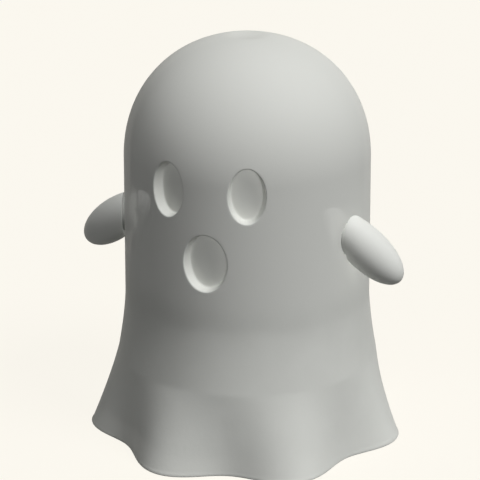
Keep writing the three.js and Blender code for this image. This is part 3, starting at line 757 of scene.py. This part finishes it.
# Egg rings down to the flat shoulder face, then the journal and the peg.
def outerArmRings():
    seat, collarFace, capFace, armFace = shoulderLevels()
    edge, journal, peg, off = arm["faceRound"], shoulder["journal"], arm["pegRadius"], -arm["pegOffset"]
    pegEnd, chamfer = capFace - arm["pegLength"], shoulder["chamfer"]
    rings = eggRings(1e3, armFace + edge, 72)[1:]
    for q in quarterTurn(4)[1:]:
        rings.append(eggRing(armFace + edge * (1 - math.sin(q)), edge * (1 - math.cos(q))))
    return rings + roundRings(
        (0, journal, armFace), (0, journal, seat - shell["wall"]), (0, journal, collarFace + chamfer),
        (0, journal - chamfer, collarFace), (off, peg, collarFace), (off, peg, pegEnd + chamfer),
        (off, peg - chamfer, pegEnd))


# The socket for the peg, the flat face and then egg rings down to the inner end.
def capRings():
    capFace = shoulderLevels()[2]
    edge, off, socket = arm["capRound"], -arm["pegOffset"], arm["pegRadius"] + gap
    rings = roundRings((off, socket, capFace - arm["pegLength"] - gap), (off, socket, capFace - 0.1),
                       (off, socket + 0.1, capFace))
    for q in quarterTurn(5)[:0:-1]:
        rings.append(eggRing(capFace - edge * (1 - math.sin(q)), edge * (1 - math.cos(q))))
    return rings + eggRings(capFace - edge, -1e3, 40)[:-1]


def makeArms(finishOf):
    armFace = shoulderLevels()[3]
    for label, side in (("left", -1), ("right", 1)):
        body, back = f"{label}_arm_body", arm["back"][side]
        upper = onShoulder(ringPiece(f"{label}ArmEgg", outerArmRings()), side, back)
        upper.data.set_sharp_from_angle(angle=40 * degree)
        upper.visible_shadow = False
        wear(upper, finishOf["arm"], body, f"{label}_arm")
        out, paintedShadeStretch = shoulderBasis(side)[:, 2], arm["paintedShadeStretch"][side]
        # Painted shade: the bore finish on each arm's flat shoulder face and on the shaded stretch of its
        # journal.
        paint(upper, finishOf["bore"],
              lambda x, y, z: np.abs(x * out[0] + y * out[1] - armFace + paintedShadeStretch) < paintedShadeStretch + 0.05)
        cap = onShoulder(ringPiece(f"{label}ArmCap", capRings()), side, back)
        cap.data.set_sharp_from_angle(angle=40 * degree)
        wear(cap, finishOf["arm"], body, f"{label}_arm_cap")
    print("arms: two outer eggs and two caps")


# Washers between each collar and cap, nearly clear so that they don't hide the caps behind the wall

def makeWashers(finishOf):
    collarFace, capFace = shoulderLevels()[1:3]
    low, high = capFace + gap, collarFace - gap
    outline = disc(0, 0, shoulder["journal"] + gap + shoulder["washerLip"], shoulder["steps"])
    for label, side in (("left", -1), ("right", 1)):
        ring = plate(f"{label}ArmWasher", outline, low, high, 0.2)
        carve(ring, cut=[shaft(disc(-arm["pegOffset"], 0, arm["pegRadius"] + gap), low - 1, high + 1)])
        onShoulder(ring, side, arm["back"][side])
        wear(ring, finishOf["washer"], f"{label}_arm_body", f"{label}_arm_washer")
    finishOf["washer"].node_tree.nodes["Principled BSDF"].inputs["Alpha"].default_value = 0.08
    print("washers")


# Base: heights are above the cover's underside until a piece is lifted

bay = {
    "lift": 5.0, "plate": 2.4, "clearance": 0.5, "rimHeight": 2.5, "rim": 1.2, "rib": 1.2, "wall": 1.6,
    "halfLength": 25.0, "halfWidth": 11.175, "roofLow": 13.2, "roofTop": 14.8,
    "edge": 0.3, "footEdge": 0.4, "mouth": 0.25,  # rounding of edges above, edges below and cut mouths
    "posts": ((-18.0, 8.0), (18.0, -8.0)), "postRadius": 2.5, "postHeight": 3.0, "postPilot": 1.2,
    "counterbore": 1.4, "headRoom": 2.8, "shankRoom": 1.45, "pivot": (-23.4, 1.2), "stubRoom": 1.0,
    "switchY": 18.0, "slot": (3.8, 1.5), "dish": (5.8, 3.0), "dishDepth": 0.8,  # slot, dish: half sizes
    "tabSlot": (23.9, 25.0, 1.3, 0.2),  # from, to, half width and corner
}


# Two outlines side by side at the cells' ends, where the contacts' tabs pass.
def atTabs(left, right, half, corner):
    return [rectangle(left, right, y - half, y + half, corner) for y in (-cell["side"], cell["side"])]


# The skirt's inner outline at a height, as a function of how far it is drawn in.
def skirtOutline(height, inset):
    turn = fullTurn(280)
    return lambda more: around(turn, skirtInnerRadius(turn, height) - inset - more, 0.0)[:, :2]


def makeCover(finishOf):
    lift, thick, inset, edge, mouth = (bay[key] for key in ("lift", "plate", "clearance", "edge", "mouth"))
    outX, outY = bay["halfLength"] + bay["wall"], bay["halfWidth"] + bay["wall"]
    top, roofLow, roofTop = thick + bay["rimHeight"], bay["roofLow"], bay["roofTop"]
    postTop = roofTop + bay["postHeight"]
    cover = plate("baseCover", skirtOutline(lift + thick, inset), 0, thick, edge, bay["footEdge"])
    rim = plate("rim", skirtOutline(lift + top, inset), thick - 1, top, edge)
    carve(rim, cut=[cutter(skirtOutline(lift + top, inset + bay["rim"]), thick - 1.5, top, edge)])
    valley = shell["firstCrest"] + math.pi / shell["foldCount"]
    reach = float(skirtInnerRadius(valley, lift + top)) - inset - bay["rim"] / 2
    near, ribs = outX - 1, bay["rib"] / 2
    spans = ((near, reach, -ribs, ribs), (-reach, -near, -ribs, ribs), (-ribs, ribs, -reach, 1 - outY))
    joined = [rim] + [plate("rib", rectangle(*span, 0.3), thick - 1, top, edge) for span in spans]
    joined.append(plate("box", oblong(0, 0, outX, outY, 1.4), thick / 2, roofTop, 0.6))
    for place in bay["posts"]:
        joined.append(plate("post", disc(*place, bay["postRadius"]), roofTop - 1, postTop, 0.25))
    cut = [cutter(oblong(0, 0, bay["halfLength"], bay["halfWidth"], 0.6), roofLow, 0.0, mouth)]
    cut += [cutter(disc(*place, bay["postPilot"]), roofTop + 0.5, postTop, 0.15) for place in bay["posts"]]
    for place in bossPlaces():
        cut += [shaft(disc(*place[:2], boss["radius"] + inset), thick, top + 1),
                shaft(disc(*place[:2], bay["shankRoom"]), -1, thick + 1),
                cutter(disc(*place[:2], bay["headRoom"]), bay["counterbore"], 0.0, mouth)]
    cut += [shaft(outline, roofLow - 1, roofTop + 1) for outline in atTabs(*bay["tabSlot"])]
    stubEnd = bay["halfWidth"] + 1.3
    stub = shaft(disc(0, 0, bay["stubRoom"], 32), -stubEnd, stubEnd)
    scoop = turned("scoop", [(0.05, 6), (4.0, 4.4), (5.0, 0), (4.0, -4.4), (0.05, -6)], 64)
    cut += [moveMesh(stub, alongY, (bay["pivot"][0], 0, bay["pivot"][1])),
            cutter(oblong(0, bay["switchY"], *bay["dish"], 1.2), bay["dishDepth"], 0.0, 0.3),
            shaft(oblong(0, bay["switchY"], *bay["slot"], 0.4), -1, thick + 1),
            moveMesh(scoop, np.diag([0.7, 1, 0.3]), (bay["halfLength"], 0, -0.3))]
    carve(cover, joined, cut)
    wear(shiftMesh(cover, 0, 0, lift), finishOf["base"], "figure", "base_cover")
    print("base cover:", len(cover.data.polygons), "faces")


door = {
    "thickness": 1.8, "end": 24.6, "halfWidth": 10.775, "edge": 0.3, "barrel": 1.2, "stub": 0.7,
    "chamfer": 0.2, "tongue": 1.9, "tongueTop": 5.4, "bump": (4.2, 5.0),
    "rib": (17.8, 0.8, 2.0),  # half length, half width and height
    "grooves": 5, "firstGroove": 2.6, "grooveStep": 1.6, "groove": (0.35, 5.5),
}


# A chamfered round bar on the hinge's axis.
def hingeBar(radius, end, steps):
    small, short = radius - door["chamfer"], end - door["chamfer"]
    bar = turned("bar", [(small, end), (radius, short), (radius, -short), (small, -end)], steps)
    return moveMesh(bar, alongY, (bay["pivot"][0], 0, bay["pivot"][1]))


# A plate with its hinge barrel, a snap tongue with a bump, a rib inside and grip grooves outside.
def makeDoor(finishOf):
    end, half, thick, tongue = door["end"], door["halfWidth"], door["thickness"], door["tongue"]
    piece = plate("batteryDoor", rectangle(bay["pivot"][0], end, -half, half, 0.6), 0, thick, door["edge"])
    snap = rectangle(end - 1, end - 0.02, -tongue, tongue, 0.25)
    bump = rectangle(end - 0.5, end + 0.2, 0.1 - tongue, tongue - 0.1, 0.1)
    ribX, ribY, ribHeight = door["rib"]
    joined = [hingeBar(door["barrel"], half, 40), hingeBar(door["stub"], bay["halfWidth"] + 1, 32),
              plate("tongue", snap, thick / 2, door["tongueTop"], 0.25),
              plate("bump", bump, *door["bump"], 0.19),
              plate("rib", oblong(0, 0, ribX, ribY, 0.3), thick / 2, thick + ribHeight, 0.3)]
    first, step = end - door["firstGroove"], door["grooveStep"]
    grooves = [oblong(first - step * number, 0, *door["groove"], 0.34) for number in range(door["grooves"])]
    carve(piece, joined, [cutter(groove, 0.35, 0.0, 0.2) for groove in grooves])
    shiftMesh(piece, 0, 0, bay["lift"])
    wear(piece, finishOf["door"], "door_body", "battery_door")
    print("battery door:", len(piece.data.polygons), "faces")


screwKinds = {
    "cover": {"shank": 1.15, "head": 2.5, "thickness": 1.1, "length": 8.6, "pitch": 0.95, "arm": 1.45},
    "board": {"shank": 0.9, "head": 1.9, "thickness": 1.1, "length": 4.1, "pitch": 0.8, "arm": 1.05},
}


# A pan head with a cross recess, below a shank whose thread has its ridge wherever z / pitch less the
# share of a turn has the fraction one half.
def makeScrew(name, kind, place, upwards):
    size, steps = screwKinds[kind], 40
    crest, head, thick, length = size["shank"], size["head"], size["thickness"], size["length"]
    core = 0.78 * crest
    rings = [circle(steps, 0.12, length)]
    for z in np.arange(length - 0.05, 0.5, -size["pitch"] / 9):
        taper = min(1.0, (length - z) / (1.3 * crest))
        phase = (z / size["pitch"] - fullTurn(steps) / (2 * math.pi)) % 1
        ridge = np.clip(1 - np.abs(phase - 0.5) / 0.28, 0, 1)
        rings.append(circle(steps, (core + (crest - core) * ridge) * (0.15 + 0.85 * taper), z))
    profile = [(core, 0.3), (crest, 0.0), (head - 0.12, 0.0), (head, -0.12), (head, -0.45 * thick)]
    for q in quarterTurn(6)[1:]:
        profile.append((head * (0.55 + 0.45 * math.cos(q)), -thick * (0.45 + 0.55 * math.sin(q))))
    piece = ringPiece(name, rings + [circle(steps, radius, z) for radius, z in profile])
    bars = [oblong(0, 0, *half, 0.1) for half in ((size["arm"], 0.3), (0.3, size["arm"]))]
    levels = [(0.28, -0.25), (0, -thick), (0, -thick - 1)]
    carve(piece, cut=[stacked("bar", bar, levels) for bar in bars])
    return moveMesh(piece, np.diag([1, 1, 1] if upwards else [1, -1, -1]), place)


def makeScrews(finishOf):
    headLevel = bay["lift"] + bay["counterbore"] - gap
    for number, place in enumerate(bossPlaces(), 1):
        piece = makeScrew(f"coverScrew{number}", "cover", (*place[:2], headLevel), True)
        wear(piece, finishOf["steel"], "figure", f"cover_screw_{number}")
    for number, place in enumerate(bay["posts"], 1):
        piece = makeScrew(f"boardScrew{number}", "board", (*place, bay["lift"] + board["top"] + gap), False)
        wear(piece, finishOf["steel"], "figure", f"board_screw_{number}")
    print("screws")


# Cells: heights run along each cell from its middle to its raised nub

cell = {
    "profile": ((0.3, 22.25), (1.6, 22.25), (1.85, 22.12), (1.9, 21.9), (1.9, 21.5), (2.2, 21.2),
                (4.15, 21.12), (4.3, 21.14), (4.45, 21.22), (4.7, 21.25), (4.95, 21.22), (5.17, 21.05),
                (5.25, 20.75),
                (5.25, 17.0), (5.25, 13.2), (5.25, 13.0), (5.25, 0.0), (5.25, -21.7), (5.17, -22.03),
                (4.95, -22.2), (4.7, -22.25), (4.45, -22.2), (4.3, -22.05), (4.1, -22.0), (3.6, -22.1),
                (3.4, -22.25), (0.3, -22.25)),
    "steelTop": 7, "bandStop": 14, "sleeveStop": 22,  # rings where steel end, band and sleeve stop
    "side": 5.475, "height": 7.5,
}


def makeCells(finishOf):
    steps = 72
    slots = np.zeros(len(cell["profile"]) - 1, np.int32)
    slots[cell["steelTop"]:cell["bandStop"]] = 2
    slots[cell["bandStop"]:cell["sleeveStop"]] = 1
    marks = np.concatenate([np.repeat(slots, steps), np.zeros(2 * steps, np.int32)])
    for number, side in ((1, -1), (2, 1)):
        piece = turned(f"cell{number}", cell["profile"], steps)
        turn = np.diag([-1, 1, -1]) @ alongX if side > 0 else alongX
        moveMesh(piece, turn, (0, side * cell["side"], bay["lift"] + cell["height"]))
        wear(piece, finishOf["steel"], "figure", f"battery_{number}")
        piece.data.materials.append(finishOf["cell"])
        piece.data.materials.append(finishOf["band"])
        piece.data.polygons.foreach_set("material_index", marks)
    print("cells")


contact = {"x": 24.45, "thickness": 0.5, "half": 3.2, "bow": 1.45, "bowThickness": 0.4, "bowWidth": 3.0,
           "tab": 1.0, "tabTop": 13.0}


# A flat strip along a path of (x, z) points, with its width along Y.
def strip(name, path, width, thickness):
    path = np.asarray(path, float)
    lead = np.gradient(path, axis=0)
    lead /= np.linalg.norm(lead, axis=1)[:, None]
    section = rectangle(-width / 2, width / 2, -thickness / 2, thickness / 2, 0.3 * thickness, 3)(0.0)
    rings = [np.stack([x + dz * section[:, 1], section[:, 0], z - dx * section[:, 1]], -1)
             for (x, z), (dx, dz) in zip(path, lead)]
    return ringPiece(name, rings)


# Stamped plates with a bow pressed out towards each cell; an end contact has a tab up through the board.
def makeContacts(finishOf):
    half, thick, level = contact["half"], contact["thickness"], bay["lift"] + cell["height"]
    turn = np.linspace(0.5, 1.5, 29) * math.pi
    bowPath = np.stack([contact["bow"] * np.cos(turn), contact["bow"] * np.sin(turn)], -1)

    def bow(y):
        return shiftMesh(strip("bow", bowPath, contact["bowWidth"], contact["bowThickness"]), 0, y, 0)

    def stamped(name, reach):
        return moveMesh(plate(name, oblong(0, 0, reach, half, 0.7), -thick / 2, thick / 2, 0.12), alongX)

    ends = (("contactPositive", -1, "contact_positive"), ("contactNegative", 1, "contact_negative"))
    for name, side, node in ends:
        piece = stamped(name, half)
        tab = rectangle(-contact["tab"], contact["tab"], 0, contact["tabTop"], 0.35)
        tab = moveMesh(plate("tab", tab, -thick / 2 + 0.02, thick / 2 - 0.02, 0.1), alongX)
        carve(piece, [tab, bow(0.0)])
        shiftMesh(piece, contact["x"], side * cell["side"], level)
        wear(piece, finishOf["strip"], "figure", node)
    piece = stamped("contactBridge", cell["side"] + half)
    carve(piece, [bow(cell["side"]), bow(-cell["side"])])
    moveMesh(piece, np.diag([-1, -1, 1]), (-contact["x"], 0, level))
    wear(piece, finishOf["strip"], "figure", "contact_bridge")
    print("contacts")


board = {
    "low": 18.1, "top": 19.7, "span": (-27.0, 27.0, -12.0, 23.0), "legX": 1.27, "legRoom": 0.654,
    "padHeight": 0.05, "trackHeight": 0.03, "postPad": 2.3, "legPad": 1.15, "tabPad": (23.0, 25.9, 2.2, 0.5),
    "chipPads": ((8.0, 9.2, 4.9, 7.1), (10.8, 12.0, 4.9, 7.1)),
    "tracks": ((1.0, 24.4, 5.2, 5.8), (1.0, 24.4, -5.8, -5.2), (1.0, 1.6, -5.8, -0.8),
               (-1.6, -1.0, 0.5, 6.3), (-1.6, 8.2, 5.7, 6.3), (11.5, 12.1, 6.0, 17.0),
               (-3.0, 12.1, 16.7, 17.3)),
}


def makeBoard(finishOf):
    low, top, high = board["low"], board["top"], board["top"] + board["padHeight"]
    root, trackTop = top - 0.3, top + board["trackHeight"]
    piece = plate("lightBoard", rectangle(*board["span"], 1.2), low, top, 0.12)
    legs = [(side * board["legX"], 0.0) for side in (-1, 1)]
    pads = [disc(*post, board["postPad"]) for post in bay["posts"]]
    pads += [disc(*leg, board["legPad"]) for leg in legs]
    pads += atTabs(*board["tabPad"]) + [rectangle(*span, 0.5) for span in board["chipPads"]]
    joined = [plate("track", rectangle(*track, 0.25), root, trackTop, 0.02) for track in board["tracks"]]
    joined += [plate("pad", pad, root, high, 0.04) for pad in pads]
    holes = [disc(*post, bay["postPilot"]) for post in bay["posts"]]
    holes += [disc(*leg, board["legRoom"]) for leg in legs] + atTabs(*bay["tabSlot"])
    carve(piece, joined, [shaft(hole, low - 1, high + 1) for hole in holes])
    wear(piece, finishOf["board"], "figure", "light_board")
    paint(piece, finishOf["steel"], lambda x, y, z: z > trackTop + 0.005)
    shiftMesh(piece, 0, 0, bay["lift"])
    print("board:", len(piece.data.polygons), "faces")


lamp = {
    "low": 22.0, "leg": 0.25, "legFoot": 17.1, "flatX": 2.5,
    "profile": ((2.6, 0.0), (2.85, 0.08), (2.9, 0.2), (2.9, 0.8), (2.85, 0.95), (2.6, 1.02), (2.48, 1.1),
                (2.45, 1.3), (2.45, 3.4), (2.45, 5.6)),
}


def makeLamp(finishOf):
    low, leg = lamp["low"], lamp["leg"]
    radius, foot = lamp["profile"][-1]
    turns = np.linspace(0.04, math.pi / 2, 14)[:-1]
    dome = [(radius * math.sin(q), foot + radius * math.cos(q)) for q in turns]
    piece = turned("lamp", dome + list(lamp["profile"])[::-1], 64)
    legs = [oblong(side * board["legX"], 0, leg, leg, 0.08) for side in (-1, 1)]
    flat = plate("flat", rectangle(lamp["flatX"], 4, -4, 4, 0.1), -0.5, 1.06, 0.02)
    carve(piece, [plate("leg", span, lamp["legFoot"] - low, 0.4, 0.08) for span in legs], [flat])
    wear(piece, finishOf["lamp"], "figure", "led_lamp")
    paint(piece, finishOf["steel"], lambda x, y, z: z < -0.01)
    shiftMesh(piece, 0, 0, bay["lift"] + low)
    print("lamp")


resistor = {"half": (1.6, 0.8), "height": 0.6, "bare": 1.15, "groove": 0.05, "place": (10, 6)}


# A chip between two metal ends, a little lower than they are.
def makeResistor(finishOf):
    height, bare = resistor["height"], resistor["bare"]
    piece = plate("resistor", oblong(0, 0, *resistor["half"], 0.12), 0, height, 0.08)
    carve(piece, cut=[plate("groove", oblong(0, 0, bare, 1, 0.05), height - resistor["groove"], 1, 0.02)])
    wear(piece, finishOf["dark"], "figure", "board_resistor")
    paint(piece, finishOf["steel"], lambda x, y, z: np.abs(x) > bare)
    shiftMesh(piece, *resistor["place"], bay["lift"] + board["top"] + gap)
    print("resistor")


switch = {"half": (4.5, 2.0), "low": 13.8, "top": 17.8, "track": (3.1, 0.9, 15.7)}
knob = {  # half sizes, foot and top of each part
    "stem": (1.5, 1.2, -1.4, 13.5), "flange": (6.3, 2.6, 2.7, 3.9), "nub": (0.8, 0.6, 12.8, 15.4), "x": -2.0,
    "grooves": (-0.8, 0.0, 0.8),
}


def makeSwitch(finishOf):
    halfX, halfY = switch["half"]
    low, top = switch["low"], switch["top"]
    trackX, trackY, trackTop = switch["track"]
    body = plate("switchBody", oblong(0, 0, halfX, halfY, 0.3), low, top, 0.15)
    notches = [oblong(side * halfX, 0, 0.5, 0.8, 0.1) for side in (-1, 1)]
    cut = [plate("notch", notch, low - 1, top + 1, 0.05) for notch in notches]
    carve(body, cut=[*cut, cutter(oblong(0, 0, trackX, trackY, 0.2), trackTop, low, 0.12)])
    wear(body, finishOf["dark"], "figure", "switch_body")
    paint(body, finishOf["strip"],
          lambda x, y, z: (z > low + 1.4) & ((np.abs(y) > halfY - 0.05) | (z > top - 0.05)))
    shiftMesh(body, 0, bay["switchY"], bay["lift"])
    print("switch body")


def makeKnob(finishOf):
    halfX, halfY, low, top = knob["stem"]
    slider = plate("switchKnob", oblong(0, 0, halfX, halfY, 0.35), low, top, 0.1, 0.3)
    joined = []
    for key in ("flange", "nub"):
        halfX, halfY, foot, head = knob[key]
        joined.append(plate(key, oblong(0, 0, halfX, halfY, 0.25), foot, head, 0.15))
    grooves = [oblong(x, 0, 0.18, 2, 0.1) for x in knob["grooves"]]
    carve(slider, joined, [cutter(groove, low + 0.3, low, 0.12) for groove in grooves])
    wear(slider, finishOf["dark"], "knob_body", "switch_knob")
    shiftMesh(slider, knob["x"], bay["switchY"], bay["lift"])
    print("switch knob")


makeStage()
finishOf = finishes()
makeShell(finishOf)
makeArms(finishOf)
makeWashers(finishOf)
makeCover(finishOf)
makeDoor(finishOf)
makeScrews(finishOf)
makeCells(finishOf)
makeContacts(finishOf)
makeBoard(finishOf)
makeLamp(finishOf)
makeResistor(finishOf)
makeSwitch(finishOf)
makeKnob(finishOf)
